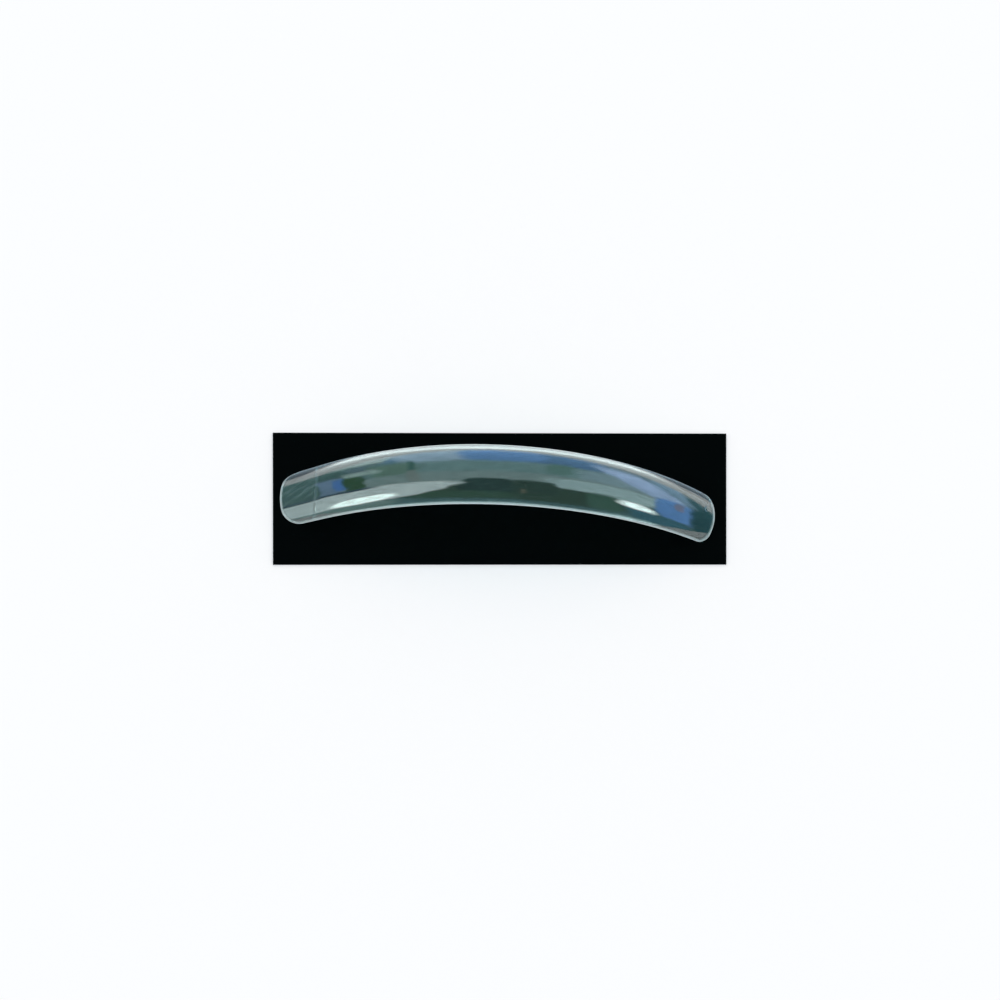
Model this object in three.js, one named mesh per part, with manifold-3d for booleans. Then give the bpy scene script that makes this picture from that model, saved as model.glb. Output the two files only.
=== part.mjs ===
// An extra-long artificial nail tip: one clear plastic moulding, an arched channel whose thin well
// is glued over a natural nail. It lies crown up on its four side corners, +X towards the free edge.
import * as THREE from "three";
import { mergeVertices } from "three/addons/utils/BufferGeometryUtils.js";
import Module from "manifold-3d";

// Driving dimensions, in millimetres and radians.
const crownLength = 70; // along the crown, from the cuticle end to the free edge
const archRadius = 46.5; // of the crown past the well, which is straight
const middleRadius = 5.95; // of the cross-section's outside, half way along
const cuticleRadius = 5.35; // of the cross-section's outside, at the cuticle end
const freeEdgeRadius = 5.15; // of the cross-section's outside, at the free edge
const halfWrap = THREE.MathUtils.degToRad(54); // of the cross-section, from crown to side edge
const bladeWall = 0.55; // from the stop to the free edge
const wellWall = 0.3; // over the natural nail
const wellLength = 6.2; // along the crown, from the cuticle end to the stop
const stopBow = 1.8; // how far the stop falls back from the crown to the side edges
const cuticleCorner = 2.8; // radius that rounds the two corners of the cuticle end
const freeEdgeCorner = 1.7; // radius that rounds the two corners of the free edge
const gateRadius = 0.35; // of the moulding gate's witness mark
const gateHeight = 0.12; // of the mark above the outside face
const gateInset = 1.7; // from the free edge to the mark, along the crown
const gateAngle = THREE.MathUtils.degToRad(5); // round from the crown to the mark, towards +Y

// Fineness of the facets.
const cornerSteps = 7; // round each rounded corner
const lengthSteps = 52; // between the corners
const wrapSteps = 17; // odd, so that one facet straddles the crown
const wellSteps = 6;
const gateSides = 16;
const overshoot = 1; // by which a cutter passes the faces that it cuts
const gateSink = 0.2; // of the mark's foot into the wall

const wasm = await Module();
wasm.setup();

// Radius of the outside at a place along the crown: the parabola through its three given radii.
function outerRadius(along) {
  const share = (2 * along) / crownLength - 1;
  const slope = (freeEdgeRadius - cuticleRadius) / 2;
  const bend = (freeEdgeRadius + cuticleRadius) / 2 - middleRadius;
  return middleRadius + slope * share + bend * share * share;
}

// Length by which a corner of the given radius shortens the side at a distance from its end.
function cornerCut(distance, radius) {
  const left = radius - Math.min(Math.max(distance, 0), radius);
  return radius - Math.sqrt(radius * radius - left * left);
}

// Angle from the crown to the side edge at a place along the crown, less where corners are round.
function wrapAt(along) {
  const cut =
    cornerCut(along, cuticleCorner) + cornerCut(crownLength - along, freeEdgeCorner);
  return halfWrap - cut / outerRadius(along);
}

// The point at a place along the crown, an angle round from it and a depth below the outside.
// The crown runs straight over the well, then round the arch; each section is an arc across it.
function onShell(along, angle, depth) {
  const turn = Math.max(along - wellLength, 0) / archRadius;
  const straight = Math.min(along - wellLength, 0);
  const radius = outerRadius(along);
  const inward = radius - (radius - depth) * Math.cos(angle);
  const fromCentre = archRadius - inward;
  return new THREE.Vector3(
    straight + fromCentre * Math.sin(turn),
    (radius - depth) * Math.sin(angle),
    fromCentre * Math.cos(turn) - archRadius,
  );
}

// Places along the crown for the shell's sections: equal angles round each corner, equal steps
// between them.
function stations() {
  const places = [];
  for (let i = 0; i < cornerSteps; i++) {
    places.push(cuticleCorner * (1 - Math.cos((i / cornerSteps) * (Math.PI / 2))));
  }
  const plain = crownLength - cuticleCorner - freeEdgeCorner;
  for (let i = 0; i <= lengthSteps; i++) {
    places.push(cuticleCorner + (i / lengthSteps) * plain);
  }
  for (let i = cornerSteps - 1; i >= 0; i--) {
    const back = freeEdgeCorner * (1 - Math.cos((i / cornerSteps) * (Math.PI / 2)));
    places.push(crownLength - back);
  }
  return places;
}

// A box of the given steps whose corners run from 0 to 1 each way, moved to where place puts them.
function bentBox(steps, place) {
  const box = new THREE.BoxGeometry(1, 1, 1, ...steps).translate(0.5, 0.5, 0.5);
  const points = box.attributes.position;
  for (let i = 0; i < points.count; i++) {
    const at = place(points.getX(i), points.getY(i), points.getZ(i));
    points.setXYZ(i, at.x, at.y, at.z);
  }
  return box;
}

// A closed geometry as a manifold-3d solid.
function solid(geometry) {
  geometry.deleteAttribute("normal").deleteAttribute("uv");
  const merged = mergeVertices(geometry);
  return new wasm.Manifold(
    new wasm.Mesh({
      numProp: 3,
      vertProperties: merged.attributes.position.array,
      triVerts: new Uint32Array(merged.index.array),
    }),
  );
}

// A manifold-3d solid as a geometry.
function geometryOf(made) {
  const mesh = made.getMesh();
  return new THREE.BufferGeometry()
    .setAttribute("position", new THREE.BufferAttribute(mesh.vertProperties, 3))
    .setIndex(new THREE.BufferAttribute(mesh.triVerts, 1));
}

// The moulding at its full wall from end to end.
function fullShell() {
  const places = stations();
  const last = places.length - 1;
  return bentBox([last, wrapSteps, 1], (x, y, z) => {
    const along = places[Math.round(x * last)];
    return onShell(along, (2 * y - 1) * wrapAt(along), bladeWall * (1 - z));
  });
}

// What is taken from the underside to leave the well, up to the bowed stop.
function wellCutter() {
  const widest = halfWrap + overshoot / cuticleRadius;
  return bentBox([wellSteps, wrapSteps, 1], (x, y, z) => {
    const angle = (2 * y - 1) * widest;
    const stop = wellLength - stopBow * (angle / halfWrap) ** 2;
    const along = THREE.MathUtils.lerp(-overshoot, stop, x);
    return onShell(along, angle, THREE.MathUtils.lerp(bladeWall + overshoot, wellWall, z));
  });
}

// The sheared stub of the moulding gate: a low disc on the outside, near the free edge.
function gateMark() {
  const along = crownLength - gateInset;
  const foot = onShell(along, gateAngle, gateSink);
  const top = onShell(along, gateAngle, -gateHeight);
  const axis = top.clone().sub(foot);
  const turn = new THREE.Quaternion().setFromUnitVectors(
    new THREE.Vector3(0, 1, 0),
    axis.clone().normalize(),
  );
  return new THREE.CylinderGeometry(gateRadius, gateRadius, axis.length(), gateSides)
    .applyQuaternion(turn)
    .translate(...foot.lerp(top, 0.5).toArray());
}

// The lowest vertex on one side of x = 0: side is -1 or 1.
function lowest(geometry, side) {
  const points = geometry.attributes.position;
  const found = new THREE.Vector3(0, 0, Infinity);
  for (let i = 0; i < points.count; i++) {
    if (points.getX(i) * side > 0 && points.getZ(i) < found.z) {
      found.fromBufferAttribute(points, i);
    }
  }
  return found;
}

// Turns the part until both ends touch the surface that it lies on, and stands it on its origin,
// which is below the middle of its box.
function laidDown(geometry) {
  for (let pass = 0; pass < 4; pass++) {
    geometry.computeBoundingBox();
    const middle = geometry.boundingBox.getCenter(new THREE.Vector3());
    geometry.translate(-middle.x, -middle.y, -geometry.boundingBox.min.z);
    const left = lowest(geometry, -1);
    const right = lowest(geometry, 1);
    geometry.rotateY(Math.atan2(right.z - left.z, right.x - left.x));
  }
  geometry.computeBoundingBox();
  const middle = geometry.boundingBox.getCenter(new THREE.Vector3());
  return geometry.translate(-middle.x, -middle.y, -geometry.boundingBox.min.z);
}

const moulding = solid(fullShell()).subtract(solid(wellCutter())).add(solid(gateMark()));

const nailTip = new THREE.Mesh(
  laidDown(geometryOf(moulding)),
  new THREE.MeshStandardMaterial({
    color: 0xdfe9e8,
    roughness: 0.08,
    metalness: 0,
    transparent: true,
    opacity: 0.35,
  }),
);
nailTip.name = "nail_tip";

const part = new THREE.Group();
part.add(nailTip);

export default part;
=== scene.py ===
import math
from typing import NamedTuple

import bpy
import numpy as np
from mathutils import Matrix, Vector


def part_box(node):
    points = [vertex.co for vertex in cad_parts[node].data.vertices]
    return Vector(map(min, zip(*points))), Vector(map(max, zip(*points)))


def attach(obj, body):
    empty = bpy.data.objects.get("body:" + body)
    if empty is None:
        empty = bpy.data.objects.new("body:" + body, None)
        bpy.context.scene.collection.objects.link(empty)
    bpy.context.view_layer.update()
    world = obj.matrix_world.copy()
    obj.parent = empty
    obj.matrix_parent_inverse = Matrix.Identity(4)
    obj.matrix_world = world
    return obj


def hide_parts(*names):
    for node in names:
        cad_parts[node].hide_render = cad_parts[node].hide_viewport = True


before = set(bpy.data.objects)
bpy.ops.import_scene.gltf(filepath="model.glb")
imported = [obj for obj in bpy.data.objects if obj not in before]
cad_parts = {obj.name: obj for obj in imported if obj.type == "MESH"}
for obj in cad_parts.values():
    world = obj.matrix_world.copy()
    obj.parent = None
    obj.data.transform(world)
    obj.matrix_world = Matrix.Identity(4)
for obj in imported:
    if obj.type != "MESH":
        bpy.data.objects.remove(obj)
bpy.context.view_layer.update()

bl_info = {
    "name": "Clear Nail Tip",
    "version": (1, 0, 0),
    "blender": (4, 5, 0),
    "location": "View3D > Sidebar > Nail Tip",
    "description": "A clear, strongly arched nail tip moulded in one piece, on a black display card",
    "category": "Add Mesh",
}

CAD_NODE = "nail_tip"
BODY = "root"
MM = 0.001

BOX_TOLERANCE = 0.1 * MM
NEVER_ZERO = 1e-6  # keeps a divisor from being 0

# Grid of the moulding: how far apart its lines lie, and how many steps its small curves take
ROW_STEP = 0.36 * MM
COLUMN_STEP = 0.21 * MM
LEAST_ROW_STEP = 0.008 * MM
LEAST_COLUMN_STEP = 0.004  # in shares of the half width
CORNER_STEPS = 22
RIM_STEPS = 5
STOP_STEPS = 10
STOP_RAMP = 0.1 * MM  # the step at the well stop leans over this length
STOP_MARGIN = 0.6  # the fine rows reach this many ramps to each side of the stop
STOP_FADE = 1.6  # the rows bowed along the stop straighten again over this many well lengths
GATE_STEP = 0.05 * MM
GATE_MARGIN = 1.5  # the fine stretch round the gate mark, in gate radii
GATE_SHOULDER = 0.12 * MM  # width over which the gate mark's side rises
LEVEL_ROUNDS = 6  # turns that lay the arch on its two ends, each one finer than the last

# Clear plastic
PLASTIC_IOR = 1.54
PLASTIC_SPECULAR_TINT = (0.86, 1.0, 0.99)
SKIN_ROUGHNESS = 0.02
SKIN_TINT = (0.94, 0.99, 0.99)
FLOW_TINT = (0.985, 0.99, 0.97)  # what the flow cloud multiplies the tint by
FLOW_ROUGHNESS = 0.015
FLOW_SCALE = 120.0
WAVE_SCALE = 190.0
WAVE_HEIGHT = 0.5 * MM
SCRATCH_SCALE = 3.0
SCRATCH_STRETCH = (0.12, 2.2, 1.0)
SCRATCH_RANGE = (0.66, 0.74)
SCRATCH_ROUGHNESS = 0.03
GRAIN_SCALE = 9000.0
GRAIN_HEIGHT = 0.02 * MM
GRAIN_STRENGTH = 0.25
GRAIN_LEAST = 0.7  # the frosting's roughness is this share of its full one where the grain is low
GRAIN_MORE = 0.5  # and this much more where the grain is high
KEY_TURN = 24.0  # degrees from the crown line to the lines that key the well
KEY_LENGTHS = (7.0, 0.55, 1.0)  # along and across a key line, in mm
KEY_RANGE = (0.46, 0.66)

# Where the plastic is painted pale, as mm past the stop or in from the outline, and how much. On a band
# along the outline and a line past the stop this is painted highlight, standing in for the light that the
# wall pipes there. On the cut edges it is partly real frosting and partly painted highlight, and on the
# well's key lines it is real frosting.
STOP_LINE_RISE = (-0.1, 0.1)
STOP_LINE_FALL = (0.65, 0.35)
RIM_HIGHLIGHT_BAND = (0.5, 0.1)
STOP_HIGHLIGHT = 0.16
KEY_GLOW = 0.16
RIM_HIGHLIGHT = 0.55
CUT_EDGE_FROST_AND_HIGHLIGHT = 0.4
FROST_AND_HIGHLIGHT_ROUGHNESS = 0.35

# Surroundings
FLOOR_RADIUS = 2.2  # in metres
FLOOR_STEPS = 32
FLOOR_MOTTLE = 0.985  # the floor's dimmer patches, as a share of its colour
FLOOR_MOTTLE_SCALE = 6.0
CARD_THICKNESS = 0.3 * MM
CARD_GAP = 0.01 * MM  # the card's face lies this far under the moulding's lowest point
CARD_MIDDLE = np.array([0.4, 1.7]) * MM
LOOK_HEIGHT = 7.0 * MM  # the camera looks near a point this far above the origin
LOOK_BELOW = 1.88 * MM  # and by this much lower in its own picture
CAMERA_NEAR = 0.01
CAMERA_FAR = 10.0


def length(name, description, default):
    """A size in metres, shown in the scene's unit."""
    return bpy.props.FloatProperty(
        name=name, description=description, default=default, min=0.0, precision=5, subtype="DISTANCE",
        unit="LENGTH",
    )


def angle(name, description, degrees):
    """An angle, kept in radians and given in degrees."""
    return bpy.props.FloatProperty(
        name=name, description=description, default=math.radians(degrees), subtype="ANGLE",
        unit="ROTATION",
    )


def share(name, description, default):
    """A number from 0 to 1."""
    return bpy.props.FloatProperty(
        name=name, description=description, default=default, min=0.0, max=1.0, subtype="FACTOR",
    )


def number(name, description, default):
    """A plain number, zero or more."""
    return bpy.props.FloatProperty(name=name, description=description, default=default, min=0.0)


def colour(name, description, default):
    """A linear colour."""
    return bpy.props.FloatVectorProperty(
        name=name, description=description, default=default, size=3, min=0.0, soft_max=1.0,
        subtype="COLOR",
    )


class NailTipSizes(bpy.types.PropertyGroup):
    """The moulding's driving sizes."""

    crown_length: length("Crown length", "Length along the crown, end to end", 70.0 * MM)
    arch_radius: length("Arch radius", "Radius that the crown is bent to along its length", 46.5 * MM)
    middle_radius: length("Middle radius", "Outer radius across the middle", 5.95 * MM)
    cuticle_radius: length("Cuticle radius", "Outer radius across the cuticle end", 5.35 * MM)
    free_edge_radius: length("Free edge radius", "Outer radius across the free edge", 5.15 * MM)
    half_wrap: angle("Half wrap", "How far the section reaches round to each side of the crown", 54.0)
    blade_wall: length("Blade wall", "Wall thickness of the blade", 0.55 * MM)
    well_wall: length("Well wall", "Wall thickness of the well that seats on the nail", 0.3 * MM)
    well_length: length("Well length", "From the cuticle end to the stop line, on the crown", 6.2 * MM)
    stop_bow: length("Stop bow", "How far the stop line bows back at the two sides", 1.8 * MM)
    cuticle_corner: length("Cuticle corner", "Corner radius at the cuticle end", 2.8 * MM)
    free_edge_corner: length("Free edge corner", "Corner radius at the free edge", 1.7 * MM)
    rim_round: length("Rim rounding", "Small rounding along every cut edge", 0.09 * MM)
    gate_radius: length("Gate radius", "Radius of the gate mark's stub", 0.35 * MM)
    gate_height: length("Gate height", "How far the gate mark stands proud", 0.12 * MM)
    gate_inset: length("Gate inset", "Distance of the gate mark from the free edge", 1.7 * MM)
    gate_angle: angle("Gate angle", "Place of the gate mark round the section, from the crown", 5.0)


class NailTipFinish(bpy.types.PropertyGroup):
    """The clear plastic's finish."""

    tint: colour("Tint", "Faint colour of the clear plastic", (0.955, 0.985, 0.98))
    gloss_roughness: share("Polish", "Roughness of the polished faces", 0.03)
    well_roughness: share("Well frosting", "Roughness of the keyed face inside the well", 0.16)
    edge_roughness: share("Cut edge", "Roughness of the trimmed edges", 0.16)
    waviness: share("Waviness", "Strength of the moulding's slow waves", 0.08)
    # painted highlight: how much pale shader, and in what colour, stands in for the light that the wall
    # pipes to the edges, partly real frosting on the trimmed edges
    edge_highlight: share("Edge glow", "How much the edges scatter the light that the wall pipes there", 0.8)
    edge_highlight_colour: colour("Edge colour", "Colour of the light that the edges scatter", (0.8, 0.9, 0.92))
    coat: share("Gloss layer", "Weight of the hard glossy skin", 1.0)


class NailTipStage(bpy.types.PropertyGroup):
    """The floor, the card, the light and the camera."""

    floor_colour: colour("Floor", "Colour of the floor", (0.755, 0.72, 0.685))
    floor_lift: colour("Floor lift", "Light that the floor adds where it is seen", (0.225, 0.275, 0.325))
    card_colour: colour("Card", "Colour of the display card", (0.0012, 0.0022, 0.0024))
    card_length: length("Card length", "Long side of the display card", 66.8 * MM)
    card_width: length("Card width", "Short side of the display card", 21.4 * MM)
    card_turn: angle("Card turn", "Turn of the card on the floor", 3.0)
    card_left_slant: angle("Left slant", "How far the card's left end leans from square", -0.6)
    card_right_slant: angle("Right slant", "How far the card's right end leans from square", 3.3)
    dome_strength: number("Dome", "Plain white light from all over the studio", 1.0)
    reflection_strength: number("Reflections", "Brightness of the cards that the gloss mirrors", 1.0)
    camera_azimuth: angle("Camera azimuth", "Where it stands, from the front towards the right", -4.48)
    camera_elevation: angle("Camera elevation", "Height of the camera above the horizon", 63.865)
    camera_roll: angle("Camera roll", "Turn of the camera about its own line of sight", 6.766)
    camera_distance: length("Camera distance", "From the camera to the point it looks at", 430.0 * MM)
    camera_lens: bpy.props.FloatProperty(
        name="Lens", description="Focal length of the camera", default=106.98, min=1.0, unit="CAMERA",
    )


# ---------------------------------------------------------------- shader nodes

# The Mix node's sockets for colours, which share their names with those for numbers
MIX_FIRST_COLOUR = 6
MIX_SECOND_COLOUR = 7
MIX_COLOUR_RESULT = 2


class Maths:
    """A node's number output. Sums written with it add Math nodes: 1 - mask is a Subtract node."""

    def __init__(self, shader, socket):
        self.shader = shader
        self.socket = socket

    def _with(self, operation, first, second):
        return self.shader.node("ShaderNodeMath", {"operation": operation}, {0: first, 1: second})

    def __add__(self, other):
        return self._with("ADD", self, other)

    def __radd__(self, other):
        return self._with("ADD", other, self)

    def __sub__(self, other):
        return self._with("SUBTRACT", self, other)

    def __rsub__(self, other):
        return self._with("SUBTRACT", other, self)

    def __mul__(self, other):
        return self._with("MULTIPLY", self, other)

    def __rmul__(self, other):
        return self._with("MULTIPLY", other, self)

    def __truediv__(self, other):
        return self._with("DIVIDE", self, other)

    def __rtruediv__(self, other):
        return self._with("DIVIDE", other, self)


class Shader:
    """The node tree of one material or of the world."""

    def __init__(self, owner):
        owner.use_nodes = True
        self.tree = owner.node_tree
        self.tree.nodes.clear()

    def node(self, kind, settings=None, sockets=None, out=0):
        """Adds a node: its settings first, then a value or a link on each socket. Returns one output."""
        made = self.tree.nodes.new(kind)
        for name, value in (settings or {}).items():
            setattr(made, name, value)
        for key, value in (sockets or {}).items():
            socket = made.inputs[key]
            if isinstance(value, Maths):
                self.tree.links.new(value.socket, socket)
            elif isinstance(value, (tuple, list)) and socket.type == "RGBA" and len(value) == 3:
                socket.default_value = (*value, 1.0)
            else:
                socket.default_value = value
        return Maths(self, made.outputs[out]) if len(made.outputs) else None

    def smooth(self, value, start, end):
        """0 up to start, 1 from end, and a smooth rise between them. It falls if end comes first."""
        low, high = (start, end) if start < end else (end, start)
        span = {"From Min": low, "From Max": high}
        ends = {"To Min": 0.0, "To Max": 1.0} if start < end else {"To Min": 1.0, "To Max": 0.0}
        sockets = {"Value": value, **span, **ends}
        return self.node("ShaderNodeMapRange", {"interpolation_type": "SMOOTHSTEP"}, sockets)

    def mix(self, factor, first, second):
        """The first colour at factor 0 and the second at factor 1."""
        sockets = {"Factor": factor, MIX_FIRST_COLOUR: first, MIX_SECOND_COLOUR: second}
        return self.node("ShaderNodeMix", {"data_type": "RGBA"}, sockets, out=MIX_COLOUR_RESULT)

    def mix_shaders(self, factor, first, second):
        """The first shader at factor 0 and the second at factor 1."""
        return self.node("ShaderNodeMixShader", None, {"Fac": factor, 1: first, 2: second})

    def noise(self, place, scale, detail):
        """Soft noise about 0.5."""
        return self.node("ShaderNodeTexNoise", None, {"Vector": place, "Scale": scale, "Detail": detail})

    def attribute(self, name):
        """A number that the mesh keeps at each of its vertices."""
        return self.node("ShaderNodeAttribute", {"attribute_name": name}, out="Fac")


# ---------------------------------------------------------------- the moulding


def outer_radius(sizes, s):
    """Outer radius across the section: a parabola in s through cuticle, middle and free edge radii."""
    q = 2 * s / sizes.crown_length - 1
    lean = (sizes.free_edge_radius - sizes.cuticle_radius) / 2
    bulge = (sizes.free_edge_radius + sizes.cuticle_radius) / 2 - sizes.middle_radius
    return sizes.middle_radius + lean * q + bulge * q * q


def corner_cut(from_end, radius):
    """What a round corner takes off the half width: radius less the circle's height at that distance."""
    left = radius - np.clip(from_end, 0, radius)
    return radius - np.sqrt(np.maximum(radius * radius - left * left, 0))


def on_shell(sizes, s, w, depth):
    """Points of the shell: s along the crown, w round the section at the outer face, depth below it.

    The section is a circle. Its plane stays square to the crown line, which runs straight through the
    well and then follows the arch: a height in the section becomes the radius of a turn about the arch's
    centre.
    """
    r = outer_radius(sizes, s)
    angle_round = w / r
    bend = np.maximum(s - sizes.well_length, 0) / sizes.arch_radius
    straight = np.minimum(s - sizes.well_length, 0)
    from_centre = sizes.arch_radius - (r - (r - depth) * np.cos(angle_round))
    x = straight + from_centre * np.sin(bend)
    y = (r - depth) * np.sin(angle_round)
    z = from_centre * np.cos(bend) - sizes.arch_radius
    return np.stack([x, y, z], -1)


def spaced(start, end, step):
    """Evenly spaced numbers from start to end, no further apart than step."""
    return np.linspace(start, end, max(2, math.ceil((end - start) / step) + 1))


def merged(parts, apart):
    """The numbers of several runs in order, without those closer than apart to the one before."""
    runs = np.unique(np.concatenate(parts))
    keep = np.concatenate([[True], np.diff(runs) > apart])
    keep[-1] = True
    return runs[keep]


def row_places(sizes):
    """Where the grid's rows cross the crown: by equal turns at the corners, close at the stop and gate."""
    e = sizes.rim_round
    turn = np.linspace(0, math.pi / 2, CORNER_STEPS + 1)
    cuticle = e + (sizes.cuticle_corner - e) * (1 - np.cos(turn))
    free = sizes.crown_length - e - (sizes.free_edge_corner - e) * (1 - np.cos(turn))
    gate = sizes.crown_length - sizes.gate_inset
    reach = GATE_MARGIN * sizes.gate_radius
    middle = spaced(sizes.cuticle_corner, sizes.crown_length - sizes.free_edge_corner, ROW_STEP)
    stop = np.linspace(-1, 1, STOP_STEPS + 1) * STOP_RAMP * STOP_MARGIN + sizes.well_length
    mark = spaced(gate - reach, gate + reach, GATE_STEP)
    return merged([cuticle, middle, stop, mark, free[free > gate + reach]], LEAST_ROW_STEP)


def column_places(sizes):
    """Where the grid's columns lie, as shares of the half width: even, and close at the gate mark."""
    half = sizes.half_wrap * sizes.free_edge_radius
    gate = sizes.gate_angle * sizes.free_edge_radius / half
    reach = GATE_MARGIN * sizes.gate_radius / half
    across = spaced(-1, 1, COLUMN_STEP / half)
    mark = spaced(gate - reach, gate + reach, GATE_STEP / half)
    return merged([across, mark], LEAST_COLUMN_STEP)


def rise(value):
    """A smooth step: 0 below 0, 1 above 1, with 3 v^2 - 2 v^3 between."""
    v = np.clip(value, 0, 1)
    return v * v * (3 - 2 * v)


def shell_grid(sizes):
    """The grid that both faces share: s and w of each crossing, rows by columns.

    w is the column's share of the half width, which the corners cut down. Rows near the stop bow with it:
    they slide back by the stop's bow times the share squared, and straighten again on either side.
    """
    rows, shares = np.meshgrid(row_places(sizes), column_places(sizes), indexing="ij")
    into = rise((rows - sizes.cuticle_corner) / (sizes.well_length - sizes.cuticle_corner))
    away = 1 - rise((rows - sizes.well_length) / (STOP_FADE * sizes.well_length))
    s = rows - sizes.stop_bow * shares**2 * np.where(rows < sizes.well_length, into, away)
    e = sizes.rim_round
    cut = corner_cut(s - e, sizes.cuticle_corner - e)
    cut = cut + corner_cut(sizes.crown_length - e - s, sizes.free_edge_corner - e)
    half = sizes.half_wrap * outer_radius(sizes, s) - e - cut
    return s, half * shares


def from_stop(sizes, s, w):
    """Distance past the stop line, which bows back at the sides."""
    turned = w / outer_radius(sizes, s) / sizes.half_wrap
    return s - (sizes.well_length - sizes.stop_bow * turned**2)


def past_stop(sizes, s, w):
    """0 in the well and 1 in the blade: a smooth step across the stop line."""
    return rise(from_stop(sizes, s, w) / STOP_RAMP + 0.5)


def wall(sizes, s, w):
    """Wall thickness: the well's thin wall, and the blade's beyond the stop."""
    return sizes.well_wall + (sizes.blade_wall - sizes.well_wall) * past_stop(sizes, s, w)


def from_outline(sizes, s, w):
    """Distance in from the outline, by the usual formula for a rectangle with round corners."""
    radius = np.where(s < sizes.crown_length / 2, sizes.cuticle_corner, sizes.free_edge_corner)
    along = radius - np.minimum(s, sizes.crown_length - s)
    across = radius - (sizes.half_wrap * outer_radius(sizes, s) - np.abs(w))
    outside = np.hypot(np.maximum(along, 0), np.maximum(across, 0))
    return radius - outside - np.minimum(np.maximum(along, across), 0)


def gate_mark(sizes, s, w):
    """Height of the gate mark: a low round stub, level on top and smooth at its side."""
    along = s - (sizes.crown_length - sizes.gate_inset)
    across = w - sizes.gate_angle * outer_radius(sizes, s)
    inside = sizes.gate_radius - np.hypot(along, across)
    return sizes.gate_height * rise(inside / GATE_SHOULDER + 0.5)


def loop_round(shape):
    """Grid indices once round a grid's edge: first row, last column, last row back, first column back."""
    index = np.arange(math.prod(shape)).reshape(shape)
    return np.concatenate([index[0, :-1], index[:-1, -1], index[-1, :0:-1], index[:0:-1, 0]])


def quads_of(index):
    """The four corners of each cell of an index grid, turned so that the grid's own up is outwards."""
    corners = [index[:-1, :-1], index[1:, :-1], index[1:, 1:], index[:-1, 1:]]
    return np.stack(corners, -1).reshape(-1, 4)


def rim_rings(sizes, s, w):
    """Rings of the rim between the faces: out round a quarter circle, down the edge, in round another.

    Each point steps out from its place on the edge, square to the outline: along the crown at the ends,
    across it at the sides, and by the corner's own radius between them.
    """
    e = sizes.rim_round
    into_cuticle = (sizes.cuticle_corner - s) / (sizes.cuticle_corner - e)
    into_free = (s - sizes.crown_length + sizes.free_edge_corner) / (sizes.free_edge_corner - e)
    along = np.clip(into_free, 0, 1) - np.clip(into_cuticle, 0, 1)
    across = np.sqrt(1 - along * along) * np.sign(w)
    thick = wall(sizes, s, w)
    turn = np.linspace(0, math.pi / 2, RIM_STEPS + 1)[:, None]
    out = np.concatenate([e * np.sin(turn[1:]), e * np.cos(turn[:-1])])
    depth = np.concatenate([e * (1 - np.cos(turn[1:])) + 0 * thick, thick - e * (1 - np.sin(turn[:-1]))])
    return s + along * out, w + across * out, depth


def levelled(points):
    """Lays the arch on its two ends and puts the origin under the middle of its box.

    It turns about Y until the lowest point of the right half is as low as the left half's.
    """
    for _ in range(LEVEL_ROUNDS):
        middle = (points.max(0) + points.min(0)) / 2
        points = points - middle
        right = points[points[:, 0] > 0]
        left = points[points[:, 0] <= 0]
        a, b = left[left[:, 2].argmin()], right[right[:, 2].argmin()]
        tilt = math.atan2(b[2] - a[2], b[0] - a[0])
        x, z = points[:, 0].copy(), points[:, 2].copy()
        points[:, 0] = x * math.cos(tilt) + z * math.sin(tilt)
        points[:, 2] = z * math.cos(tilt) - x * math.sin(tilt)
    low, high = points.min(0), points.max(0)
    return points - np.array([(low[0] + high[0]) / 2, (low[1] + high[1]) / 2, low[2]])


def mesh_from(name, points, faces):
    """A mesh from arrays of points and of quads, smooth all over."""
    mesh = bpy.data.meshes.new(name)
    mesh.vertices.add(len(points))
    mesh.vertices.foreach_set("co", points.astype(np.float32).ravel())
    mesh.loops.add(faces.size)
    mesh.loops.foreach_set("vertex_index", faces.astype(np.int32).ravel())
    mesh.polygons.add(len(faces))
    mesh.polygons.foreach_set("loop_start", np.arange(0, faces.size, 4, dtype=np.int32))
    mesh.update(calc_edges=True)
    mesh.validate()
    mesh.polygons.foreach_set("use_smooth", np.ones(len(mesh.polygons), bool))
    return mesh


def add_attribute(mesh, name, values):
    """One number at each vertex, for the material to read."""
    made = mesh.attributes.new(name, "FLOAT", "POINT")
    made.data.foreach_set("value", np.ascontiguousarray(values, np.float32))


def add_uv_map(mesh, name, along, across):
    """A UV map that follows the surface: along the crown, and round the section."""
    corners = np.zeros(len(mesh.loops), np.int32)
    mesh.loops.foreach_get("vertex_index", corners)
    places = np.stack([along[corners], across[corners]], -1)
    made = mesh.uv_layers.new(name=name)
    made.data.foreach_set("uv", places.astype(np.float32).ravel())


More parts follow.
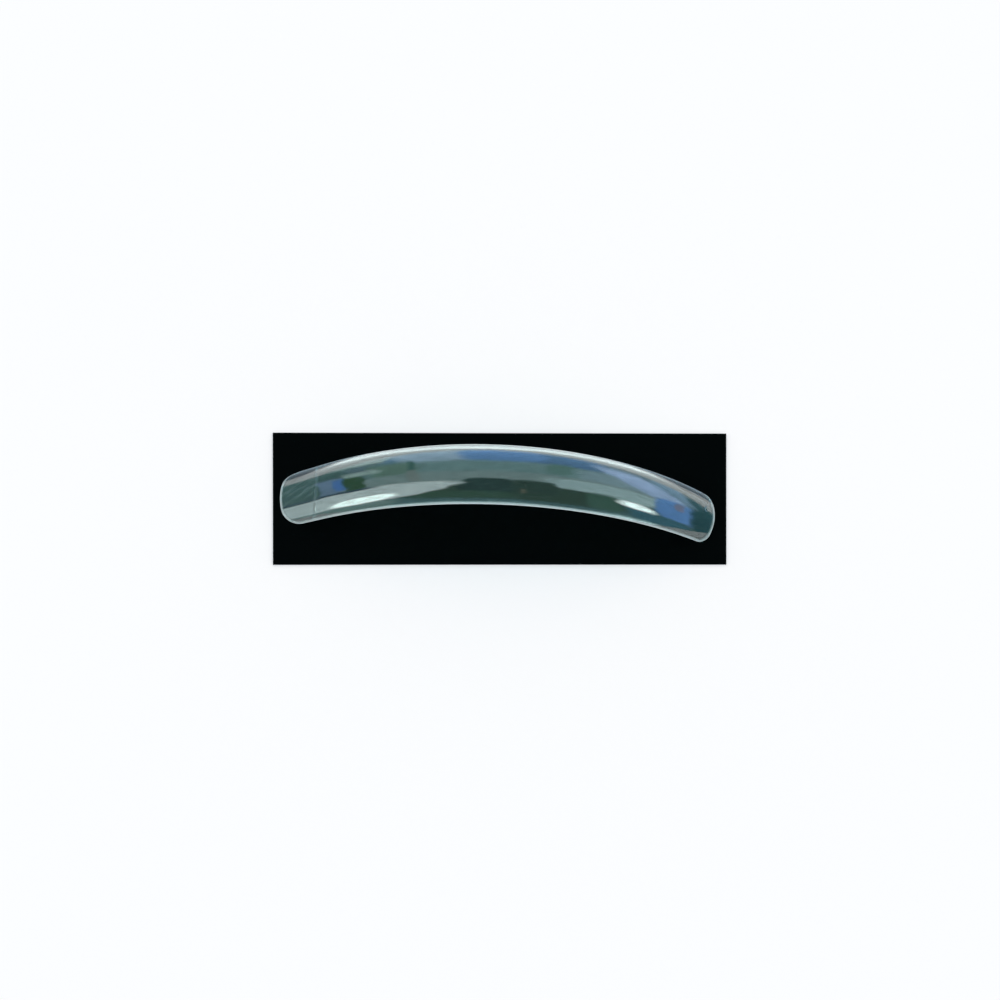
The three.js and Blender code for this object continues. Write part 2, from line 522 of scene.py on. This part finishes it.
def build_moulding(sizes):
    """The whole shell as one closed mesh: outer face, inner face, and the rim carried round between them.

    It keeps numbers at its vertices for the material: 1 on the well's inner face, the distances in mm
    past the stop and in from the outline, and 1 on a cut edge. The stop is a step on the inner face only,
    so every other vertex counts as a well's length short of it.
    """
    s, w = shell_grid(sizes)
    edge = loop_round(s.shape)
    rim_s, rim_w, rim_depth = rim_rings(sizes, s.ravel()[edge], w.ravel()[edge])
    rings = len(rim_s) - 1  # the last ring is the inner face's own edge
    rim_s, rim_w, rim_depth = rim_s[:rings], rim_w[:rings], rim_depth[:rings]

    thick = wall(sizes, s, w)
    all_s = np.concatenate([s.ravel(), s.ravel(), rim_s.ravel()])
    all_w = np.concatenate([w.ravel(), w.ravel(), rim_w.ravel()])
    all_depth = np.concatenate([-gate_mark(sizes, s, w).ravel(), thick.ravel(), rim_depth.ravel()])
    points = levelled(on_shell(sizes, all_s, all_w, all_depth))

    face = np.arange(s.size).reshape(s.shape)
    outer, inner = quads_of(face), quads_of(face + s.size)[:, ::-1]
    rim = np.arange(rim_s.size).reshape(rim_s.shape) + 2 * s.size
    loops = np.concatenate([edge[None], rim, edge[None] + s.size])
    loops = np.concatenate([loops, loops[:, :1]], 1)
    mesh = mesh_from("moulding", points, np.concatenate([outer, inner, quads_of(loops.T)]))

    inside = np.concatenate([np.zeros(s.size), np.ones(s.size), np.zeros(rim_s.size)])
    add_attribute(mesh, "well", inside * (1 - past_stop(sizes, all_s, all_w)))
    past = np.where(inside > 0, from_stop(sizes, all_s, all_w), -sizes.well_length)
    add_attribute(mesh, "from_stop", past / MM)
    add_attribute(mesh, "from_outline", from_outline(sizes, all_s, all_w) / MM)
    add_attribute(mesh, "cut_edge", np.concatenate([np.zeros(2 * s.size), np.ones(rim_s.size)]))
    add_uv_map(mesh, "shell", all_s / MM, all_w / MM)
    return mesh


def clear_plastic(finish):
    """Clear moulded plastic: polished outside, keyed in the well, a little duller on its trimmed edges.

    Slow waves from the mould bend the reflections, fine hairlines run mostly along the crown, and a faint
    flow cloud changes the tint. A pale opaque shader is mixed in. On a band inside the outline and a line
    past the stop it is painted highlight, standing in for the light that the wall pipes there. On the
    trimmed edges it is partly real frosting and partly painted highlight, and on the lines that key the
    well it is real frosting.
    """
    material = bpy.data.materials.new("clear_plastic")
    shader = Shader(material)
    place = shader.node("ShaderNodeTexCoord", out="Object")
    shell = shader.node("ShaderNodeUVMap", {"uv_map": "shell"})
    well = shader.attribute("well")
    cut_edge = shader.attribute("cut_edge")
    past = shader.attribute("from_stop")
    # painted highlight: a pale line just past the stop, standing in for the light that the step shows
    # there
    stop_highlight = shader.smooth(past, *STOP_LINE_RISE) * shader.smooth(past, *STOP_LINE_FALL)
    # painted highlight: a pale band inside the outline, standing in for the light that the wall pipes to
    # its edge
    rim = shader.smooth(shader.attribute("from_outline"), *RIM_HIGHLIGHT_BAND)

    waves = shader.noise(place, WAVE_SCALE, detail=1.5)
    stretched = shader.node("ShaderNodeMapping", None, {"Vector": shell, "Scale": SCRATCH_STRETCH})
    scratches = shader.smooth(shader.noise(stretched, SCRATCH_SCALE, detail=2.0), *SCRATCH_RANGE)
    grain = shader.noise(place, GRAIN_SCALE, detail=2.0)
    cloud = shader.noise(place, FLOW_SCALE, detail=3.0)
    turned = {"Vector": shell, "Rotation": (0.0, 0.0, math.radians(KEY_TURN)), "Scale": KEY_LENGTHS}
    key_lines = shader.node("ShaderNodeMapping", {"vector_type": "TEXTURE"}, turned)
    keyed = well * shader.smooth(shader.noise(key_lines, scale=1.0, detail=2.0), *KEY_RANGE)

    frosting = (finish.well_roughness - finish.gloss_roughness) * well
    roughness = finish.gloss_roughness + SCRATCH_ROUGHNESS * scratches + FLOW_ROUGHNESS * cloud
    roughness = roughness + frosting * (GRAIN_LEAST + GRAIN_MORE * grain)
    roughness = roughness + (finish.edge_roughness - finish.gloss_roughness) * cut_edge

    wave_bump = {"Strength": finish.waviness, "Distance": WAVE_HEIGHT, "Height": waves}
    normal = shader.node("ShaderNodeBump", None, wave_bump)
    grain_bump = {"Strength": GRAIN_STRENGTH * well, "Distance": GRAIN_HEIGHT, "Height": grain}
    normal = shader.node("ShaderNodeBump", None, {**grain_bump, "Normal": normal})

    tint = tuple(finish.tint)
    warmer = tuple(c * k for c, k in zip(tint, FLOW_TINT))
    clear = shader.node("ShaderNodeBsdfPrincipled", None, {
        "Base Color": shader.mix(cloud, tint, warmer),
        "Roughness": roughness,
        "Normal": normal,
        "IOR": PLASTIC_IOR,
        "Transmission Weight": 1.0,
        "Specular Tint": PLASTIC_SPECULAR_TINT,
        "Coat Weight": finish.coat,
        "Coat Roughness": SKIN_ROUGHNESS,
        "Coat Tint": SKIN_TINT,
    })
    # the pale shader: painted highlight on the rim band and the stop line, partly real frosting and partly
    # painted highlight on the cut edges, real frosting on the key lines
    scatter = shader.node("ShaderNodeBsdfPrincipled", None, {
        "Base Color": tuple(finish.edge_highlight_colour),
        "Roughness": FROST_AND_HIGHLIGHT_ROUGHNESS,
        "IOR": PLASTIC_IOR,
    })
    # share of the pale shader: painted highlight on the rim band and the stop line, painted highlight and
    # real frosting on the cut edges, real frosting on the key lines
    pale = CUT_EDGE_FROST_AND_HIGHLIGHT * cut_edge + RIM_HIGHLIGHT * rim + STOP_HIGHLIGHT * stop_highlight + KEY_GLOW * keyed
    surface = shader.mix_shaders(finish.edge_highlight * pale, clear, scatter)
    shader.node("ShaderNodeOutputMaterial", None, {"Surface": surface})
    return material


class NAILTIP_OT_moulding(bpy.types.Operator):
    """Makes the nail tip's one moulding, in clear plastic, and lets it stand for the CAD solid"""

    bl_idname = "nailtip.moulding"
    bl_label = "Nail tip moulding"

    def execute(self, context):
        mesh = build_moulding(context.scene.nail_tip_sizes)
        mesh.materials.append(clear_plastic(context.scene.nail_tip_finish))
        piece = bpy.data.objects.new("nail_tip_moulding", mesh)
        context.scene.collection.objects.link(piece)
        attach(piece, BODY)
        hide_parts(CAD_NODE)
        check_box(mesh)
        return {"FINISHED"}


def check_box(mesh):
    """Stops if the moulding's box is off the CAD node's box by more than the tolerance."""
    points = np.zeros(len(mesh.vertices) * 3, np.float32)
    mesh.vertices.foreach_get("co", points)
    points = points.reshape(-1, 3)
    low, high = (np.array(corner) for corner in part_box(CAD_NODE))
    apart = max(np.abs(points.min(0) - low).max(), np.abs(points.max(0) - high).max())
    if apart > BOX_TOLERANCE:
        raise RuntimeError(f"the moulding's box is {apart / MM:.3f} mm off the CAD node's box")


# ---------------------------------------------------------------- the stage


class Card(NamedTuple):
    """A soft-edged card in the studio. Its place is how far it lies to the right and back of straight up.

    Its place, its size and the width of its soft edge are in degrees. It leans to the right by lean times
    how far back a point lies.
    """

    right: float
    back: float
    half_width: float
    half_depth: float
    soft: float
    colour: tuple
    lean: float = 0.0
    oval: bool = False


# The studio that the gloss mirrors: each card covers the ones before it.
ROOM = (0.24, 0.44, 0.44)
STUDIO_CARDS = (
    Card(0, -66, 100, 7, 6, (0.32, 0.56, 0.60)),
    Card(0, -92, 100, 18, 6, (1.5, 2.1, 2.2)),
    Card(66, -92, 36, 22, 8, (2.9, 3.8, 3.9)),
    Card(-50, -66, 14, 8, 6, (0.70, 0.98, 0.95)),
    Card(-44, 80, 10, 11, 7, (1.30, 1.55, 1.55)),
    Card(-22, 90, 18, 12, 6, (1.70, 2.10, 2.15)),
    Card(-43, 54, 8, 9, 6, (0.42, 0.62, 0.74)),
    Card(-35, 56, 4, 14, 5, (0.42, 0.76, 1.15), 0.2),
    Card(-20, 69, 12, 20, 6, (1.10, 1.45, 1.85)),
    Card(24, 68, 12, 18, 6, (0.38, 0.70, 1.25)),
    Card(2, 70, 13, 21, 6, (0.50, 0.94, 1.80)),
    Card(44, 76, 9, 14, 7, (0.42, 0.64, 0.80)),
    Card(6, 20, 54, 30, 5, (0.66, 1.03, 1.07)),
    Card(-37, 24, 6, 24, 8, (0.50, 0.80, 0.68)),
    Card(21, 37, 2.5, 9, 6, (0.46, 0.82, 0.76)),
    Card(44, 20, 12, 24, 12, (0.95, 1.30, 1.50)),
    Card(6, -4, 54, 14, 18, (0.84, 1.10, 1.12)),
    Card(40, -6, 21, 15, 8, (1.45, 1.88, 1.96)),
    Card(64, 50, 6, 18, 8, (0.70, 1.05, 1.45), -0.3),
    Card(53, 39, 7, 23, 9, (1.45, 1.85, 2.75), -0.5),
    Card(73, 46, 2.5, 14, 4, (0.20, 0.42, 0.50), -0.3),
    Card(68, -10, 8.5, 28, 4, (0.52, 1.05, 2.20)),
    Card(60, -53, 11, 12, 7, (0.22, 0.54, 0.72)),
    Card(81, -10, 5, 44, 4, (0.11, 0.30, 0.36)),
    Card(70, 6, 1.6, 8, 2.5, (0.80, 0.85, 1.30)),
    Card(-65, 14, 8, 24, 4, (0.62, 0.88, 1.30)),
    Card(-72.5, 24, 5.5, 42, 2, (0.31, 0.53, 0.50)),
    Card(-58.5, 13, 2.4, 16, 2, (0.33, 0.72, 1.75)),
    Card(-53, 7, 3.4, 22, 2.5, (0.17, 0.36, 0.20)),
    Card(-49, 37, 6, 6, 5, (1.20, 1.55, 1.50)),
    Card(-30.5, 34, 0.8, 14, 1.6, (0.26, 0.55, 0.50), 0.08),
    Card(-31, 8, 1.0, 8, 3, (0.76, 0.90, 0.88)),
    Card(6, -42, 38, 22, 4, (0.17, 0.29, 0.23)),
    Card(-4, -26, 10, 19, 3, (0.13, 0.24, 0.23)),
    Card(13, -26, 8, 18, 3, (0.15, 0.26, 0.22)),
    Card(-12, -53, 14, 8, 7, (0.20, 0.38, 0.28)),
    Card(38, -42, 4, 14, 7, (0.24, 0.48, 0.38)),
    Card(9, -39, 0.7, 3.5, 2, (0.50, 0.50, 0.38), 0.0, True),
    Card(-50, -35, 30, 22.5, 4, (2.20, 2.42, 2.46), 0.5),
    Card(-62, -14, 13, 2.4, 2.5, (0.22, 0.34, 0.44)),
    Card(-48, -48, 11.5, 10.5, 5, (6.0, 6.4, 6.3), 0.3, True),
    Card(51, -31.5, 6.3, 8.4, 5.5, (5.8, 6.2, 6.2), -0.2, True),
)
EDGE_WANDER = 5.0  # a card's edge strays from its outline by at most half of this, in degrees
WANDER_SCALE = 5.0
STREAK_SCALE = 13.0
STREAK_RANGE = (0.42, 0.68)
STREAK_DEPTH = 0.3  # how far the faint streaks pull the cards towards the room's colour
WHITE = (1.0, 1.0, 1.0)


def card_mask(shader, right, back, card):
    """1 on the card and 0 off it. Its edge is where u^2 + v^2 is 1 if it is oval, and else u^4 + v^4.

    u and v are the distances from the card's middle, over its half width and its half depth.
    """
    u = (right - card.lean * (back - card.back) - card.right) / card.half_width
    v = (back - card.back) / card.half_depth
    u, v = u * u, v * v
    power = 2 if card.oval else 4
    edge = u + v if card.oval else u * u + v * v
    soft = card.soft / min(card.half_width, card.half_depth) / 2
    return shader.smooth(edge, (1 + soft) ** power, max(0.0, 1 - soft) ** power)


def studio_world(stage):
    """The world: plain white for the camera and on everything matt, and in the gloss the studio's cards.

    A direction becomes two angles, how far it lies to the right and to the back of straight up. Slow
    noise makes the cards' edges wander a little, and finer noise lays faint streaks over them.
    """
    world = bpy.data.worlds.new("studio")
    shader = Shader(world)
    direction = shader.node("ShaderNodeTexCoord", out="Generated")
    split = {"Vector": direction}
    x, y, z = (shader.node("ShaderNodeSeparateXYZ", None, split, out=axis) for axis in "XYZ")
    from_zenith = shader.node("ShaderNodeMath", {"operation": "ARCCOSINE"}, {0: z}) * math.degrees(1)
    flat = shader.node("ShaderNodeMath", {"operation": "SQRT"}, {0: x * x + y * y + NEVER_ZERO})
    stray = EDGE_WANDER * (shader.noise(direction, WANDER_SCALE, detail=2.0) - 0.5)
    right = x * from_zenith / flat + stray
    back = y * from_zenith / flat - stray

    sky = ROOM
    for card in STUDIO_CARDS:
        sky = shader.mix(card_mask(shader, right, back, card), sky, card.colour)
    streaks = shader.smooth(shader.noise(direction, STREAK_SCALE, detail=5.0), *STREAK_RANGE)
    sky = shader.mix(STREAK_DEPTH * streaks, sky, ROOM)

    camera = shader.node("ShaderNodeLightPath", out="Is Camera Ray")
    diffuse = shader.node("ShaderNodeLightPath", out="Is Diffuse Ray")
    plain = {"Color": WHITE, "Strength": stage.dome_strength}
    plain = shader.node("ShaderNodeBackground", None, plain)
    cards = {"Color": sky, "Strength": stage.reflection_strength}
    cards = shader.node("ShaderNodeBackground", None, cards)
    both = shader.mix_shaders(camera + diffuse, cards, plain)
    shader.node("ShaderNodeOutputWorld", None, {"Surface": both})
    world.cycles.sampling_method = "NONE"  # or matt surfaces would be lit by the cards
    return world


def floor_material(stage):
    """Matt pale floor, lifted towards white where the camera, the gloss and the clear plastic see it."""
    material = bpy.data.materials.new("pale_floor")
    shader = Shader(material)
    place = shader.node("ShaderNodeTexCoord", out="Object")
    mottle = shader.noise(place, FLOOR_MOTTLE_SCALE, detail=3.0)
    pale = tuple(stage.floor_colour)
    dimmer = tuple(FLOOR_MOTTLE * c for c in pale)
    matt = shader.node("ShaderNodeBsdfDiffuse", None, {"Color": shader.mix(mottle, pale, dimmer)})
    seen = 1 - shader.node("ShaderNodeLightPath", out="Is Diffuse Ray")
    lift = shader.node("ShaderNodeEmission", None, {"Color": tuple(stage.floor_lift), "Strength": seen})
    both = shader.node("ShaderNodeAddShader", None, {0: matt, 1: lift})
    shader.node("ShaderNodeOutputMaterial", None, {"Surface": both})
    return material


def card_material(stage):
    """Matt black card with no shine."""
    material = bpy.data.materials.new("black_card")
    shader = Shader(material)
    matt = shader.node("ShaderNodeBsdfDiffuse", None, {"Color": tuple(stage.card_colour)})
    shader.node("ShaderNodeOutputMaterial", None, {"Surface": matt})
    return material


def studio_floor():
    """The floor: a flat round sheet, made of a square grid.

    Each point of the grid moves along its own ray from the middle, until the square ring that it lies on
    is a circle.
    """
    side = np.linspace(-1, 1, FLOOR_STEPS + 1)
    u, v = np.meshgrid(side, side, indexing="ij")
    ring = np.maximum(np.abs(u), np.abs(v))
    shrink = FLOOR_RADIUS * ring / np.maximum(np.hypot(u, v), NEVER_ZERO)
    points = np.stack([u * shrink, v * shrink, np.full_like(u, -CARD_THICKNESS)], -1)
    return mesh_from("studio_floor", points.reshape(-1, 3), quads_of(np.arange(u.size).reshape(u.shape)))


def display_card(stage):
    """A thin four-sided card under the moulding, turned on the floor, with its two short ends slanted."""
    half = np.array([stage.card_length, stage.card_width]) / 2
    corner = np.array([[-1, -1], [1, -1], [1, 1], [-1, 1]]) * half
    c, s = math.cos(stage.card_turn), math.sin(stage.card_turn)
    slant = np.where(corner[:, 0] > 0, stage.card_right_slant, stage.card_left_slant)
    corner[:, 0] += corner[:, 1] * np.tan(slant)
    turned = corner @ np.array([[c, s], [-s, c]]) + CARD_MIDDLE
    top = np.concatenate([turned, np.full((4, 1), -CARD_GAP)], 1)
    bottom = np.concatenate([turned, np.full((4, 1), -CARD_THICKNESS)], 1)
    faces = [[0, 1, 2, 3], [7, 6, 5, 4]] + [[i, i + 4, (i + 1) % 4 + 4, (i + 1) % 4] for i in range(4)]
    mesh = mesh_from("display_card", np.concatenate([top, bottom]), np.array(faces))
    mesh.polygons.foreach_set("use_smooth", np.zeros(len(mesh.polygons), bool))
    return mesh


def camera_axes(stage):
    """The camera's right, up and backward directions, from its azimuth, elevation and roll."""
    azimuth, elevation, roll = stage.camera_azimuth, stage.camera_elevation, stage.camera_roll
    level = Vector((math.cos(azimuth), math.sin(azimuth), 0))
    away = Vector((-math.sin(azimuth), math.cos(azimuth), 0))
    up = Vector((0, 0, 1)) * math.cos(elevation) + away * math.sin(elevation)
    backward = Vector((0, 0, 1)) * math.sin(elevation) - away * math.cos(elevation)
    right = level * math.cos(roll) + up * math.sin(roll)
    up = up * math.cos(roll) - level * math.sin(roll)
    return right, up, backward


def add_camera(context, stage):
    """The camera, which looks at a point under the middle of the arch."""
    right, up, backward = camera_axes(stage)
    data = bpy.data.cameras.new("camera")
    data.lens = stage.camera_lens
    data.clip_start = CAMERA_NEAR
    data.clip_end = CAMERA_FAR
    camera = bpy.data.objects.new("camera", data)
    aim = Vector((0, 0, LOOK_HEIGHT)) - up * LOOK_BELOW
    axes = Matrix((right, up, backward)).transposed().to_4x4()
    camera.matrix_world = Matrix.Translation(aim + backward * stage.camera_distance) @ axes
    context.scene.collection.objects.link(camera)
    context.scene.camera = camera


def add_to_stage(context, mesh, material):
    """An object of the stage, made of one mesh in one material."""
    mesh.materials.append(material)
    thing = bpy.data.objects.new(mesh.name, mesh)
    context.scene.collection.objects.link(thing)
    return thing


class NAILTIP_OT_stage(bpy.types.Operator):
    """Makes the pale floor, the black display card, the studio light and the camera"""

    bl_idname = "nailtip.stage"
    bl_label = "Floor, card, light and camera"

    def execute(self, context):
        stage = context.scene.nail_tip_stage
        add_to_stage(context, studio_floor(), floor_material(stage))
        card = add_to_stage(context, display_card(stage), card_material(stage))
        card.visible_glossy = False  # the gloss mirrors the floor here, and not the black card
        context.scene.world = studio_world(stage)
        add_camera(context, stage)
        context.scene.view_settings.view_transform = "Standard"
        return {"FINISHED"}


class NAILTIP_PT_panel(bpy.types.Panel):
    """The nail tip's sizes, finish and stage"""

    bl_label = "Nail Tip"
    bl_idname = "NAILTIP_PT_panel"
    bl_space_type = "VIEW_3D"
    bl_region_type = "UI"
    bl_category = "Nail Tip"

    def draw(self, context):
        parts = (
            (context.scene.nail_tip_sizes, NAILTIP_OT_moulding),
            (context.scene.nail_tip_finish, None),
            (context.scene.nail_tip_stage, NAILTIP_OT_stage),
        )
        for group, operator in parts:
            column = self.layout.column(align=True)
            for name in type(group).__annotations__:
                column.prop(group, name)
            if operator is not None:
                column.operator(operator.bl_idname)


GROUPS = {
    "nail_tip_sizes": NailTipSizes,
    "nail_tip_finish": NailTipFinish,
    "nail_tip_stage": NailTipStage,
}
CLASSES = (*GROUPS.values(), NAILTIP_OT_moulding, NAILTIP_OT_stage, NAILTIP_PT_panel)


def register():
    """Registers the classes and hangs the three property groups on the scene."""
    for made in CLASSES:
        bpy.utils.register_class(made)
    for name, group in GROUPS.items():
        setattr(bpy.types.Scene, name, bpy.props.PointerProperty(type=group))


def unregister():
    """Takes the property groups off the scene and unregisters the classes."""
    for name in GROUPS:
        delattr(bpy.types.Scene, name)
    for made in reversed(CLASSES):
        bpy.utils.unregister_class(made)


def main():
    register()
    bpy.ops.nailtip.moulding()
    bpy.ops.nailtip.stage()


if __name__ == "__main__":
    main()
